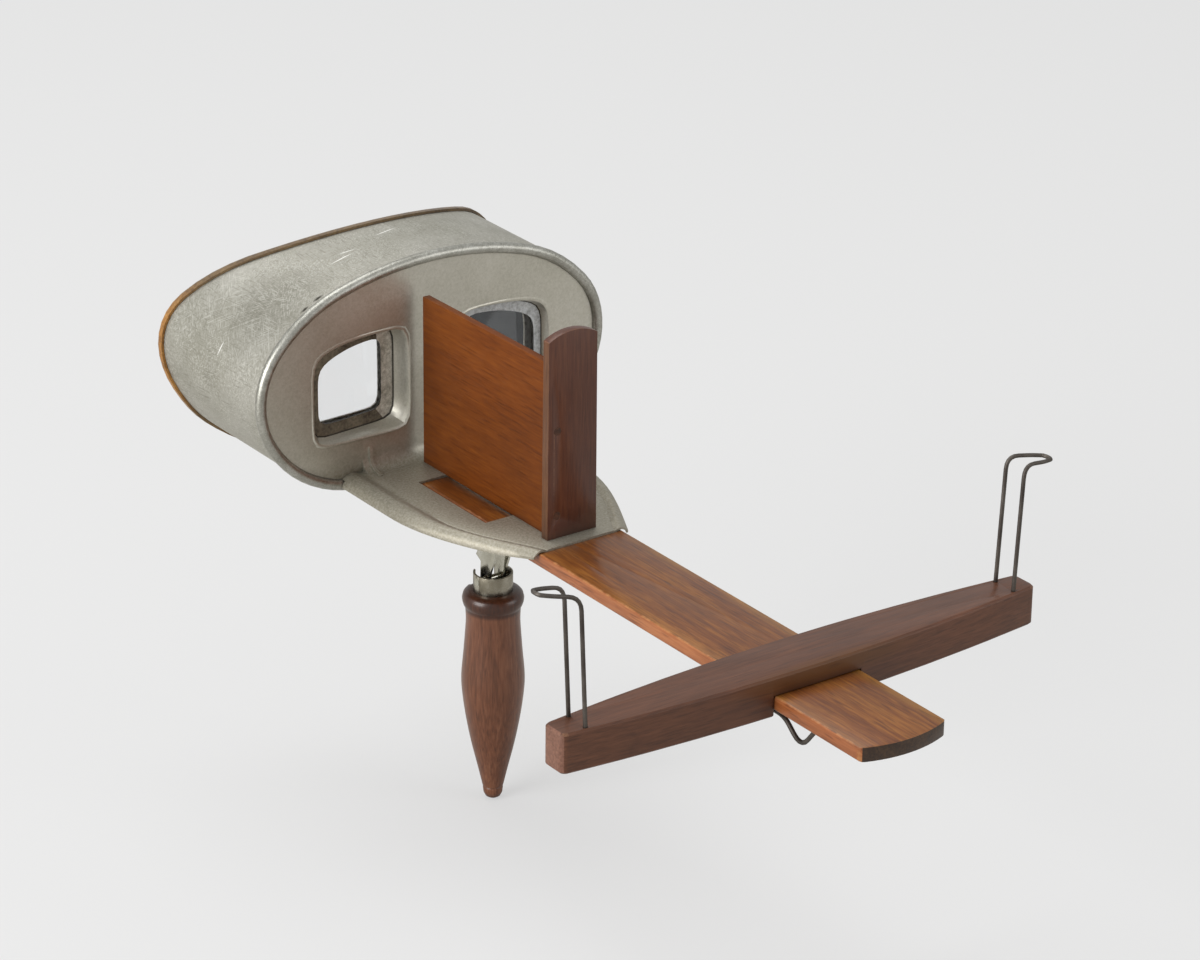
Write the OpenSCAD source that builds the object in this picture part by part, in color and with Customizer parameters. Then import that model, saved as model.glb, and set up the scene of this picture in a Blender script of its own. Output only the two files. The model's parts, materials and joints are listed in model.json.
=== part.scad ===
// Hand stereoscope: a sheet-metal hood and lens board on a wooden bed, with a card rest
// that slides along the bed and a turned handle that folds back under the hood.
// Millimetres. X runs across the face, Y from the card towards the eyes, Z is up.
// The origin is on the underside of the bed, below the middle of the front board.
// Left and right are the viewer's own, so the right lens is on the -X side.

/* [Bed] */
// Width of the wooden bed
bed_w = 33.4; // [30:0.2:38]
// Thickness of the bed
bed_t = 4.8; // [4.4:0.1:6]
// Length of bed in front of the front board
bed_reach = 176.3; // [150:0.1:200]
// Rounding of the bed's long edges
bed_edge = 0.8; // [0.3:0.1:1.4]
// How far the bed's front end bows out
bed_bow = 3.5; // [1.5:0.1:5]
// Rounding of the front end's corners
bed_corner = 3; // [1.5:0.1:5]

/* [Hood] */
// Distance from the front board to the lens board
board_gap = 80; // [70:0.5:95]
// Height of the crown above the top of the bed
crown_h = 74.6; // [70:0.2:82]
// Radius of the crown
crown_r = 127.2; // [115:0.2:140]
// Radius of the shoulders
shoulder_r = 54.8; // [51:0.2:58]
// Radius of the temples
temple_r = 30.5; // [28:0.1:33]
// Radius of the cheeks
cheek_r = 43.2; // [41:0.1:46]
// Turn from upright where the crown meets the shoulders
crown_turn = 17.4; // [16:0.1:19]
// Turn from upright where the shoulders meet the temples
shoulder_turn = 48.3; // [46:0.1:51]
// Turn from upright where the temples meet the cheeks
temple_turn = 115.6; // [112:0.1:119]
// Thickness of the sheet metal
sheet = 0.8; // [0.6:0.05:1]
// Radius of the rolled bead round the lens board
bead_r = 1.9; // [1.5:0.1:2.2]
// How far the bead stands out past the hood
bead_proud = 1.1; // [0.6:0.1:1.4]
// Depth of the hood at the brow
brow_depth = 35.2; // [30:0.2:42]
// Radius of the face that the hood fits
face_r = 100; // [90:1:120]
// Depth of hood left in front of the nose
nose_depth = 14; // [11:0.5:18]
// Half width of the nose notch
nose_half_w = 28; // [22:0.5:28]
// Thickness of the soft binding beyond the rim
binding_t = 1; // [0.8:0.1:1.6]
// How far the binding laps on to the hood
binding_lap = 2.2; // [1.8:0.1:3.5]

/* [Lens board] */
// Distance of each window's middle from the centre
eye_x = 29; // [27:0.2:32]
// Height of the windows' middle above the top of the bed
eye_h = 31.6; // [29:0.2:34]
// Half width of each window at its outer ridge
window_half_w = 19.1; // [17.5:0.1:20]
// Half height of each window at its outer ridge
window_half_h = 18.5; // [17:0.1:20]
// Depth of the window's pressed recess on the side of the nose
window_deep = 6.5; // [5:0.1:9]
// Depth of the recess on the side of the temple
window_shallow = 3; // [2.5:0.1:4.5]
// Height of the ridge round each window
ridge_h = 0.6; // [0.3:0.1:1]
// Depth that each lens takes up behind the deepest part of its recess
lens_t = 5.6; // [5.2:0.1:7]
// Radius of the lens's curved face
lens_r = 105; // [95:1:130]
// How far the middle of the lens's curve lies out from the window's middle
lens_shift = 5; // [3:0.5:7]

/* [Shelf] */
// Length of shelf in front of the front board
shelf_nose = 7; // [5.5:0.1:10]
// Half width of the shelf's flat top where it is widest
shelf_half_w = 28.8; // [25:0.2:31]
// Half width of the flat top at its front edge
shelf_nose_half_w = 13; // [11:0.2:14]
// Half width of the shelf over its rolled lips
lip_half_w = 38.2; // [36:0.2:40]
// Drop of the rolled lips below the shelf's top where they are deepest
lip_drop = 3.3; // [2.6:0.1:4]
// Radius of the bend between shelf and lens board
bend_r = 5; // [3:0.5:7]
// Half width of the window cut in the shelf
cut_half_w = 18.4; // [15:0.1:20]
// Length of the window cut in the shelf
cut_len = 40; // [34:0.1:43]
// Distance from the front board to the window in the shelf
cut_gap = 21.6; // [20:0.1:26]

/* [Septum and front board] */
// Thickness of the septum
septum_t = 2.6; // [2:0.1:3.4]
// Height of the septum
septum_h = 60.8; // [54:0.2:66]
// Fall of the septum's top towards the eyes
septum_fall = 0.6; // [0:0.1:3]
// Place of the septum across the viewer, as the photograph shows it
septum_x = -6; // [-7:0.1:0]
// Thickness of the front board
front_t = 3.2; // [2.4:0.1:4]
// Width of the front board at its foot
front_w = 19.6; // [18.5:0.1:26]
// Width of the front board at its shoulders
front_top_w = 19; // [16:0.1:22]
// Height of the front board at its shoulders
front_h = 69.5; // [66:0.1:74]
// Rise of the front board's arched top
front_arch = 2.6; // [1:0.1:5]

/* [Card rest] */
// Distance of the card rest in front of the front board
rest_gap = 121.4; // [60:0.2:150]
// Length of the card rest across the bed
rest_len = 184; // [180:0.5:196]
// Depth of the card rest at its middle
rest_mid_w = 21; // [18:0.2:24]
// Depth of the card rest at its ends
rest_end_w = 10.6; // [10:0.1:13]
// Rounding of the ends' corners
rest_corner = 2.5; // [2:0.1:4.5]
// Height of the card rest above the bed's top
rest_top = 6.5; // [5:0.1:9]
// Drop of its cheeks below the bed's underside
cheek_drop = 2.2; // [1.2:0.1:3]
// Bevel along its edges
rest_edge = 0.7; // [0.3:0.1:1]
// Running clearance of the card rest on the bed
slide_gap = 0.3; // [0.2:0.05:0.6]

/* [Wires] */
// Radius of the card wires
wire_r = 0.7; // [0.5:0.05:0.9]
// Distance of the card wires from the card rest's ends
wire_inset = 8.8; // [8:0.1:12]
// Half of the slot that the card stands in, to the wires' middles
wire_half_gap = 4.3; // [3.6:0.1:4.5]
// Height of the wires above the card rest
wire_h = 43; // [35:0.5:55]
// How far the wires lean out at the top
wire_lean = 2; // [0:0.1:4]
// Reach of the bent-out tops
wire_reach = 13.4; // [11:0.1:18]
// Rise of the bent-out top of the wire at the viewer's right
right_rise = 3.3; // [-3:0.1:4]
// Rise of the bent-out top of the wire at the viewer's left
left_rise = -2.2; // [-3:0.1:4]
// Length of wire driven into the wood
wire_root = 7; // [4:0.5:8]
// Radius of the slide's spring wire
spring_r = 0.8; // [0.6:0.05:0.9]
// Drop of the spring's two bows below the bed
spring_drop = 10.6; // [8:0.2:14]

/* [Handle] */
// Distance from the front board to the handle's axis
handle_y = 43.9; // [38:0.1:48]
// Depth of the hinge pin below the bed
pin_drop = 27.8; // [25:0.1:32]
// Radius of the hinge pin
pin_r = 1.25; // [1:0.05:1.5]
// Outer radius of the ferrule
ferrule_r = 6.8; // [6.4:0.1:7.2]
// Wall of the ferrule
ferrule_wall = 0.7; // [0.5:0.05:0.9]
// Rise of the ferrule's mouth above the pin
ferrule_rise = 2.3; // [1.8:0.1:3]
// Depth of the ferrule's floor below the pin
ferrule_floor = 4; // [3.8:0.1:5.5]
// Depth of the seat that the ferrule is sunk in
ferrule_sunk = 0.5; // [0.3:0.1:1]
// Length of the turned handle
grip_len = 78.8; // [70:0.2:100]
// Radius of the handle's belly
belly_r = 10.9; // [10:0.1:13]
// Radius of the handle's top bead
collar_r = 10.6; // [9.8:0.1:12]
// Radius of the handle's waist under the bead
waist_r = 9.35; // [8.9:0.05:9.7]

/* [Bracket] */
// Distance between the outer faces of the bracket's ears
ear_span = 7; // [6.4:0.1:7.2]
// Thickness of the bracket's sheet
ear_t = 0.9; // [0.7:0.05:1.1]
// Half length of the bracket's base
base_half_len = 17; // [16:0.5:20]
// Half width of the bracket's base
base_half_w = 6.2; // [5:0.1:8]
// Running clearance of the ears on the pin
pin_gap = 0.05; // [0.02:0.01:0.1]

/* [Hidden] */
$fn = 64;
slack = 0.04;        // clearance of a nail or wire in its hole
seat = 0.05;         // clearance between parts that seat on each other
over = 1;            // how far a cutter runs past the face it cuts
shelf_top = bed_t + sheet;
wall_d = bead_proud + sheet/2;
eye_z = bed_t + eye_h;
board_inset = 2*bead_r + seat;
lens_front = board_gap + window_deep + sheet + seat;
frame_back = lens_front + lens_t + seat;
rest_y = -rest_gap;
wire_x = rest_len/2 - wire_inset;
rest_z = bed_t + rest_top;
notch_z = bed_t + slide_gap;
pin_z = -pin_drop;
seat_z = pin_z - ferrule_floor - ferrule_wall;
mouth_z = pin_z + ferrule_rise;
nail_r = 0.7;
nail_head_r = 1.4;
nail_head_t = 0.6;
nail_len = 12;
front_nails = [8, 38];
septum_nails_y = [14, board_gap - 13];
screw_r = 1.2;
screw_grip = bed_t - 0.7;
screw_head_r = 2.6;
screw_y = base_half_len - 4;
grip_screw_r = 1.5;
grip_screw_head_r = 2.8;
grip_screw_len = 20;

steel_dark = "#4a4440";
nickel = "#a9a68e";
aluminium = "#b4b2ab";

// A circular arc as points. Angles turn clockwise from straight up.
function arc(c, r, a0, a1, n) =
    [for (i = [0:n]) let (a = a0 + (a1 - a0)*i/n) c + r*[sin(a), cos(a)]];

// The hood's outline is four tangent arcs on each side. A station holds an arc's centre,
// its radius and the turn, so a wall or bead can be set off from it by any distance.
crown_c = [0, bed_t + crown_h - crown_r];
shoulder_c = crown_c + (crown_r - shoulder_r)*[sin(crown_turn), cos(crown_turn)];
temple_c = shoulder_c + (shoulder_r - temple_r)*[sin(shoulder_turn), cos(shoulder_turn)];
cheek_c = temple_c + (temple_r - cheek_r)*[sin(temple_turn), cos(temple_turn)];
function stations(c, r, a0, a1, n) = [for (i = [1:n]) [c[0], c[1], r, a0 + (a1 - a0)*i/n]];
half_ring = concat([[0, crown_c[1], crown_r, 0]],
    stations(crown_c, crown_r, 0, crown_turn, 5),
    stations(shoulder_c, shoulder_r, crown_turn, shoulder_turn, 5),
    stations(temple_c, temple_r, shoulder_turn, temple_turn, 9),
    stations(cheek_c, cheek_r, temple_turn, 180, 11),
    [for (i = [9:-1:0]) [cheek_c[0]*i/10, cheek_c[1], cheek_r, 180]]);
ring = concat(half_ring,
    [for (i = [len(half_ring) - 2:-1:1]) let (s = half_ring[i]) [-s[0], s[1], s[2], -s[3]]]);
function at(s, d) = [s[0] + (s[2] - d)*sin(s[3]), s[1] + (s[2] - d)*cos(s[3])];
function outline(d) = [for (s = ring) at(s, d)];

// The rim follows the face: a round brow and temples, and a notch for the nose. On the way
// round it was cut a little fuller at the shoulders and the cheeks, which is a turn from
// upright and a depth at each crest and hollow, with a smooth wave between them.
rim_waves = [[0, 0.7], [45, 3.9], [115, -0.6], [146, 5.5], [180, 0]];
function wave(t, i = 0) = let (a = rim_waves[i], b = rim_waves[i + 1])
    t > b[0] ? wave(t, i + 1)
    : a[1] + (b[1] - a[1])*(1 - cos(180*(t - a[0])/(b[0] - a[0])))/2;
function face_depth(x) = brow_depth + face_r - sqrt(face_r*face_r - x*x);
function notch(x) = abs(x) < nose_half_w
    ? (brow_depth - nose_depth)*(1 + cos(180*x/nose_half_w))/2 : 0;
function rim_y(s) = let (x = at(s, wall_d)[0])
    board_gap + face_depth(x) + wave(abs(s[3])) - (abs(s[3]) > 150 ? notch(x) : 0);

// Joins rings of points into one closed solid. A closed skin runs round to its first ring.
// An end is closed by a band of quads across its ring, so a ring has an even number of points
// and its second half runs back beside its first half.
module skin(rings, closed = false) {
    n = len(rings);
    m = len(rings[0]);
    sides = [for (i = [0:n - (closed ? 1 : 2)], j = [0:m - 1])
        let (a = i*m, b = ((i + 1)%n)*m, k = (j + 1)%m)
        each [[a + j, b + k, a + k], [a + j, b + j, b + k]]];
    last = (n - 1)*m;
    caps = closed ? [] : [for (j = [0:m/2 - 2]) let (k = m - 1 - j)
        each [[j, j + 1, k - 1, k], [last + k, last + k - 1, last + j + 1, last + j]]];
    polyhedron([for (r = rings) each r], concat(sides, caps));
}

// Stands a flat outline up across the viewer, from y to y + t.
module upright(y, t) {
    translate([0, y + t, 0]) rotate([90, 0, 0]) linear_extrude(t) children();
}

// A round bar along an axis that starts at p and turns by the given angles.
module bar(p, turn, r, len) {
    translate(p) rotate(turn) cylinder(r = r, h = len);
}

// Rounds the corners of a run of points, each with a curve that starts its own
// distance before the corner and ends that distance after it.
function toward(p, q, d) = p + (q - p)*d/norm(q - p);
function curve(a, b, c, t) = (1 - t)*(1 - t)*a + 2*t*(1 - t)*b + t*t*c;
function rounded(pts, cut, n) = concat([pts[0]],
    [for (i = [1:len(pts) - 2])
        let (a = toward(pts[i], pts[i - 1], cut[i]), c = toward(pts[i], pts[i + 1], cut[i]))
        each [for (k = [0:n]) curve(a, pts[i], c, k/n)]],
    [pts[len(pts) - 1]]);
function unit(v) = v/norm(v);
function heading(p, i) = unit(p[min(i + 1, len(p) - 1)] - p[max(i - 1, 0)]);
function carry(v, t) = unit(v - (v*t)*t);
function sides_of(p, v, i = 0) = i == len(p) ? []
    : let (u = carry(v, heading(p, i))) concat([u], sides_of(p, u, i + 1));
// Sweeps a round wire along a path, with start as a direction square to its first run.
module wire(p, r, start, n = 8) {
    u = sides_of(p, start);
    skin([for (i = [0:len(p) - 1]) let (w = cross(heading(p, i), u[i]))
        [for (k = [0:n - 1]) p[i] + r*(cos(360*k/n)*u[i] + sin(360*k/n)*w)]]);
}

module bed() {
    end_y = board_gap - bead_r - slide_gap;
    hw = bed_w/2;
    bow_r = (hw*hw + bed_bow*bed_bow)/(2*bed_bow);
    // The corner's arc touches the long edge and the bow from inside.
    in_x = hw - bed_corner;
    bow_turn = asin(in_x/(bow_r - bed_corner));
    bow_y = bow_r - bed_reach;
    corner_y = bow_y - (bow_r - bed_corner)*cos(bow_turn);
    color("#8f6238") difference() {
        intersection() {
            upright(-bed_reach, bed_reach + end_y) polygon(concat(
                arc([hw - bed_edge, bed_t - bed_edge], bed_edge, 0, 90, 3),
                arc([hw - bed_edge, bed_edge], bed_edge, 90, 180, 3),
                arc([bed_edge - hw, bed_edge], bed_edge, 180, 270, 3),
                arc([bed_edge - hw, bed_t - bed_edge], bed_edge, 270, 360, 3)));
            translate([0, 0, -over]) linear_extrude(bed_t + 2*over) polygon(concat(
                [[hw + over, end_y + over], [hw + over, corner_y]],
                arc([in_x, corner_y], bed_corner, 90, 180 - bow_turn, 6),
                arc([0, bow_y], bow_r, 180 - bow_turn, 180 + bow_turn, 12),
                arc([-in_x, corner_y], bed_corner, 180 + bow_turn, 270, 6),
                [[-hw - over, corner_y], [-hw - over, end_y + over]]));
        }
        for (y = septum_nails_y) {
            bar([septum_x, y, -over], [0, 0, 0], nail_r + slack, bed_t + 2*over);
            bar([septum_x, y, -over], [0, 0, 0], nail_head_r + slack,
                nail_head_t + over + slack);
        }
        for (s = [-1, 1])
            bar([0, handle_y + s*screw_y, -over], [0, 0, 0], screw_r + slack,
                screw_grip + over + slack);
    }
}

// Distance from a window's middle to its edge at angle t, where 0 points to the temple.
// Each wall is a direction and a distance, and the power rounds the corners between them.
// The share k goes from 0 at the outer ridge to 1 at the edge of the hole.
corner_power = 8;
ridge_walls = [[0, window_half_w], [66, window_half_h*1.13], [90, window_half_h],
    [180, window_half_w], [270, window_half_h]];
hole_walls = [[0, window_half_w - 4.2], [66, window_half_h - 4.6], [90, window_half_h - 4.8],
    [180, window_half_w - 7.4], [270, window_half_h - 6.2]];
function sum(v, i = 0) = i == len(v) ? 0 : v[i] + sum(v, i + 1);
function reach(t, k) = pow(sum([for (i = [0:len(ridge_walls) - 1])
    let (h = ridge_walls[i][1]*(1 - k) + hole_walls[i][1]*k)
    pow(max(0, cos(t - ridge_walls[i][0]))/h, corner_power)]), -1/corner_power);
function window(k, grow = 0, n = 48) =
    [for (i = [0:n - 1]) let (t = 360*i/n) (reach(t, k) + grow)*[cos(t), sin(t)]];
module eye(side) {
    mirror([side < 0 ? 1 : 0, 0, 0]) translate([eye_x, 0, eye_z]) children();
}

// The recess is tilted: it is deep by the nose and shallow by the temple, and the ridge
// round it is full at the nose and below, and all but dies out at the temple and above.
ledge_fall = (window_deep - window_shallow)/(2*window_half_w);
function ledge(x) = (window_deep + window_shallow)/2 - ledge_fall*x;
function ridge(p) = ridge_h*max(0.15,
    0.7 - 0.6*p[0]/window_half_w - 0.5*p[1]/window_half_h);

// The pressed recess: up over the ridge, down the wall, in along the ledge and back. A point
// of the section is a share of the way in, a share of the ridge's height, a share of the
// recess's depth and a share of the sheet's thickness.
module window_cup() {
    section = [[-0.16, 0, 0, 0.3], [-0.12, -0.1, 0, 0], [-0.06, -0.75, 0, 0], [0, -1, 0, 0],
        [0.07, -0.6, 0, 0], [0.11, 0.4, 0, 0], [0.15, 0, 0.2, 0], [0.3, 0, 0.92, 0],
        [0.36, 0, 1, 0], [1, 0, 1, 0], [1, 0, 1, 1], [0.3, 0, 1, 1], [0.18, 0, 0.9, 1],
        [0.03, 0, 0.2, 1], [-0.02, 0, 0, 1.2], [-0.12, 0, 0, 0.8]];
    skin([for (q = section) [for (p = window(q[0])) [p[0],
        board_gap + q[1]*ridge(p) + q[2]*ledge(p[0]) + q[3]*sheet, p[1]]]], true);
}

// The shelf's plan: its flat top widens from the front edge, and the lips run outside it.
function swell(y, len) = sin(90*min(1, (y + shelf_nose)/len));
function crease(y) = shelf_nose_half_w
    + (shelf_half_w - shelf_nose_half_w)*pow(swell(y, 0.5*board_gap), 1.2);
lip_nose = bed_w/2 + slide_gap + sheet + 1.2;
function lip(y) = lip_nose + (lip_half_w - lip_nose)*swell(y, 0.7*board_gap);
// Each point of the section is a share of the way from the crease to the lip's edge,
// a step inwards and a height above the flat top.
function drop(y) = lip_drop*(0.68 + 0.32*swell(y, 0.2*board_gap));
function lip_top(y) = [[0, 0, 0], [0.1, 0, -0.3], [0.22, 0, -0.05], [0.36, 0, 0.4],
    [0.52, 0, 0.45], [0.72, 0, -0.1], [0.88, 0, -0.9], [1, 0, -0.65*drop(y)],
    [1, 0, -drop(y)]];
function lip_under(y) = [[1, sheet, -drop(y)], [1, sheet, -0.6*drop(y)],
    [0.8, 0, -sheet - 0.35], [0.68, 0, 0.1 - sheet], [0.56, 0, 0.4 - sheet],
    [0.36, 0, 0.3 - sheet], [0.2, 0, -sheet], [0.1, 0, -sheet], [0, 0, -sheet]];
function lip_points(list, y, side) = [for (q = list)
    [side*(crease(y) + q[0]*(lip(y) - crease(y)) - q[1]), y, shelf_top + q[2]]];
function backwards(v) = [for (i = [len(v) - 1:-1:0]) v[i]];
function shelf_ring(y) = concat(backwards(lip_points(lip_top(y), y, -1)),
    lip_points(lip_top(y), y, 1), lip_points(lip_under(y), y, 1),
    backwards(lip_points(lip_under(y), y, -1)));
module shelf() {
    steps = 22;
    end_y = board_gap + sheet/2;
    difference() {
        skin([for (i = [0:steps]) let (t = i/steps)
            shelf_ring(-shelf_nose + (end_y + shelf_nose)*pow(t, 1.3))]);
        translate([-cut_half_w, cut_gap, bed_t - over])
            cube([2*cut_half_w, cut_len, 2*over + sheet]);
        for (y = septum_nails_y)
            bar([septum_x, y, 0], [0, 0, 0], nail_r + slack, shelf_top + over);
        // The lips stop short of the bead.
        upright(board_gap - bead_r - seat, 2*bead_r) difference() {
            translate([-lip_half_w - over, 0]) square([2*(lip_half_w + over), 2*shelf_top]);
            polygon(outline(board_inset));
        }
    }
}

// The concave bend that turns the shelf up into the board, with two pressed gussets.
gusset_x = shelf_half_w - 3.2;
gusset_t = 1.2;
gusset_h = 8.7;
gusset_proud = 0.6;
module bend() {
    y = board_gap - bend_r;
    difference() {
        translate([-shelf_half_w, y, shelf_top - sheet/2])
            cube([2*shelf_half_w, bend_r + sheet/2, bend_r + sheet/2]);
        bar([-shelf_half_w - over, y, shelf_top + bend_r], [0, 90, 0], bend_r,
            2*shelf_half_w + 2*over);
    }
    for (s = [-1, 1]) translate([s*gusset_x - gusset_t/2, board_gap, 0])
        rotate([90, 0, 90]) linear_extrude(gusset_t) polygon(concat(
            [[sheet/2, shelf_top - sheet/2], [-bend_r - 2, shelf_top - sheet/2],
                [-bend_r - 2, shelf_top + 0.3]],
            arc([-bend_r, shelf_top + bend_r], bend_r - gusset_proud, 180, 90, 5),
            [[-gusset_proud, shelf_top + gusset_h - 1.2], [0.1, shelf_top + gusset_h],
                [sheet/2, shelf_top + gusset_h]]));
}

module lens_board() {
    color("#a39f95") {
        difference() {
            upright(board_gap, sheet) polygon(outline(board_inset));
            for (side = [-1, 1]) eye(side)
                upright(board_gap - over, sheet + 2*over) polygon(window(-0.06));
        }
        for (side = [-1, 1]) eye(side) window_cup();
        shelf();
        bend();
    }
}

// Hood wall and rolled bead in one section, carried round the outline.
module hood_shell() {
    t0 = acos((bead_proud - bead_r)/bead_r);
    t1 = 360 + acos((bead_proud + sheet - bead_r)/bead_r);
    bead = [for (i = [0:11]) let (t = t0 + (t1 - t0)*i/11)
        [bead_r + bead_r*cos(t), board_gap + bead_r*sin(t)]];
    color(aluminium) skin([for (s = ring)
        [for (q = concat([[bead_proud, rim_y(s)]], bead, [[bead_proud + sheet, rim_y(s)]]))
            let (p = at(s, q[0])) [p[0], q[1], p[1]]]], true);
}

// The binding's section is set square to the rim, so it keeps its width in the notch.
module hood_binding() {
    n = len(ring);
    wall = sheet/2 + 2*seat;
    out = sheet/2 + binding_t;
    section = [[-wall, -binding_lap], [-out, -binding_lap], [-out - 0.1, -0.5],
        [-0.75*out, 0.6*binding_t], [-0.3*out, binding_t], [0.3*out, binding_t],
        [0.75*out, 0.6*binding_t], [out + 0.1, -0.5], [out, -binding_lap],
        [wall, -binding_lap], [wall, seat], [-wall, seat]];
    rim = [for (s = ring) let (p = at(s, wall_d)) [p[0], rim_y(s), p[1]]];
    color("#a9803f") skin([for (i = [0:n - 1])
        let (s = ring[i], along = unit(rim[(i + 1)%n] - rim[(i + n - 1)%n]),
            across = [sin(s[3]), 0, cos(s[3])], u = carry(across, along),
            v = cross(along, u)*(cross(along, u)[1] < 0 ? -1 : 1))
        [for (q = backwards(section)) rim[i] - q[0]*u + q[1]*v]], true);
}

// A square-cut decentred lens: its flat front leans on the tilted ledge, so it is thick by
// the temple and thin by the nose, and its back is curved.
module lens(side) {
    half = 2*window_half_w;
    color("#c9d6d8", 0.5) eye(side) intersection() {
        upright(board_gap, frame_back + over - board_gap) polygon(window(pan_k, -seat));
        translate([0, board_gap + ledge(0) + sheet + seat, 0])
            rotate([0, 0, -atan(ledge_fall)]) translate([-half, 0, -half]) cube(2*half);
        translate([lens_shift, lens_front + lens_t - lens_r, 0])
            sphere(r = lens_r, $fn = 240);
    }
}
module left_lens() { lens(1); }
module right_lens() { lens(-1); }

// A pan with a flange, soldered to the back of the board round the pressed recess.
pan_k = -0.14;
module lens_frame(side) {
    front = board_gap + sheet;
    color("#8b8a80") eye(side) difference() {
        union() {
            upright(front, sheet) polygon(window(pan_k, 3.4));
            upright(front, frame_back + sheet - front) polygon(window(pan_k, sheet));
        }
        upright(front - over, frame_back - front + over) polygon(window(pan_k));
        upright(frame_back - over, sheet + 2*over) polygon(window(0.8));
    }
}
module left_lens_frame() { lens_frame(1); }
module right_lens_frame() { lens_frame(-1); }

// A square board that stands between the front board and the start of the shelf's bend.
module septum() {
    back = board_gap - bend_r - seat;
    front = front_t/2 + seat;
    color("#8a4a1e") translate([septum_x, 0, 0]) difference() {
        translate([-septum_t/2, 0, 0]) rotate([90, 0, 90]) linear_extrude(septum_t)
            polygon([[front, shelf_top], [back, shelf_top],
                [back, shelf_top + septum_h - septum_fall], [front, shelf_top + septum_h]]);
        for (y = septum_nails_y)
            bar([0, y, 0], [0, 0, 0], nail_r + slack, shelf_top + nail_len + slack);
        for (z = front_nails)
            bar([0, 0, shelf_top + z], [-90, 0, 0], nail_r + slack, nail_len + slack);
    }
}

module septum_nails() {
    color("#7d7a72") for (y = septum_nails_y) {
        bar([septum_x, y, 0], [0, 0, 0], nail_head_r, nail_head_t);
        bar([septum_x, y, 0], [0, 0, 0], nail_r, shelf_top + nail_len);
    }
}

module front_board() {
    r = (front_top_w*front_top_w/4 + front_arch*front_arch)/(2*front_arch);
    half = asin(front_top_w/2/r);
    color("#5a3228") difference() {
        upright(-front_t/2, front_t) polygon(concat(
            arc([0, shelf_top + front_h + front_arch - r], r, -half, half, 16),
            [[front_w/2, shelf_top], [-front_w/2, shelf_top]]));
        for (z = front_nails) {
            bar([septum_x, -front_t, shelf_top + z], [-90, 0, 0], nail_r + slack, 2*front_t);
            bar([septum_x, -front_t, shelf_top + z], [-90, 0, 0], nail_head_r + slack,
                front_t/2 + nail_head_t + slack);
        }
    }
}

module front_board_nails() {
    color("#7d7a72") for (z = front_nails) {
        bar([septum_x, -front_t/2, shelf_top + z], [-90, 0, 0], nail_head_r, nail_head_t);
        bar([septum_x, -front_t/2, shelf_top + z], [-90, 0, 0], nail_r,
            nail_len + front_t/2);
    }
}

// Plan of the card rest, set in by d: long bowed sides and ends with round corners.
function rest_plan(d) =
    let (hx = rest_len/2, hy = rest_mid_w/2, ey = rest_end_w/2,
        run = hx - rest_corner,
        r = (run*run + (hy - ey)*(hy - ey))/(2*(hy - ey)),
        turn = asin(run/r),
        side = arc([0, hy - r], r - d, 0, turn, 10),
        corner = arc([run - rest_corner*sin(turn), ey - rest_corner*cos(turn)],
            rest_corner - d, turn, 90, 5),
        quarter = concat([for (i = [0:9]) side[i]],
            [for (p = corner) [p[0] + rest_corner*sin(turn), p[1]]]),
        back = concat(backwards([for (i = [1:len(quarter) - 1]) [-quarter[i][0], quarter[i][1]]]),
            quarter))
    concat(back, backwards([for (p = back) [p[0], -p[1]]]));
function layer(d, z) = [for (p = backwards(rest_plan(d))) [p[0], p[1] + rest_y, z]];

module card_rest() {
    hw = bed_w/2 + slide_gap;
    color("#65423a") difference() {
        skin([layer(rest_edge, -cheek_drop), layer(0, rest_edge - cheek_drop),
            layer(0, rest_z - rest_edge), layer(rest_edge, rest_z)]);
        translate([-hw, rest_y - rest_mid_w, -cheek_drop - over])
            cube([2*hw, 2*rest_mid_w, notch_z + cheek_drop + over]);
        for (x = [-wire_x, wire_x], y = [-wire_half_gap, wire_half_gap])
            bar([x, rest_y + y, rest_z - wire_root - slack], [0, 0, 0], wire_r + slack,
                wire_root + over);
        for (s = [-1, 1])
            bar([s*spring_x, rest_y + spring_back, -cheek_drop - over], [0, 0, 0],
                spring_r + slack, spring_root + over + slack);
    }
}

// One hairpin of wire: up from the rest, out at the top, round and down again.
module card_wire(side, rise) {
    foot = rest_z - wire_root;
    top = rest_z + wire_h;
    tip = wire_x + wire_lean + wire_reach;
    far = 0.7*wire_half_gap;
    half = [[wire_x, wire_half_gap, foot], [wire_x, wire_half_gap, rest_z + 0.5],
        [wire_x + wire_lean, wire_half_gap, top], [tip - 3, far, top + 0.8*rise],
        [tip, 0.55*far, top + rise]];
    path = rounded(concat([for (p = half) [p[0], -p[1], p[2]]], backwards(half)),
        [0, 0.3, 4.5, 3, 1.4, 1.4, 3, 4.5, 0.3, 0], 5);
    color(steel_dark) mirror([side < 0 ? 1 : 0, 0, 0]) translate([0, rest_y, 0])
        wire(path, wire_r, [1, 0, 0]);
}
module left_card_wire() { card_wire(1, left_rise); }
module right_card_wire() { card_wire(-1, right_rise); }

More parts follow.
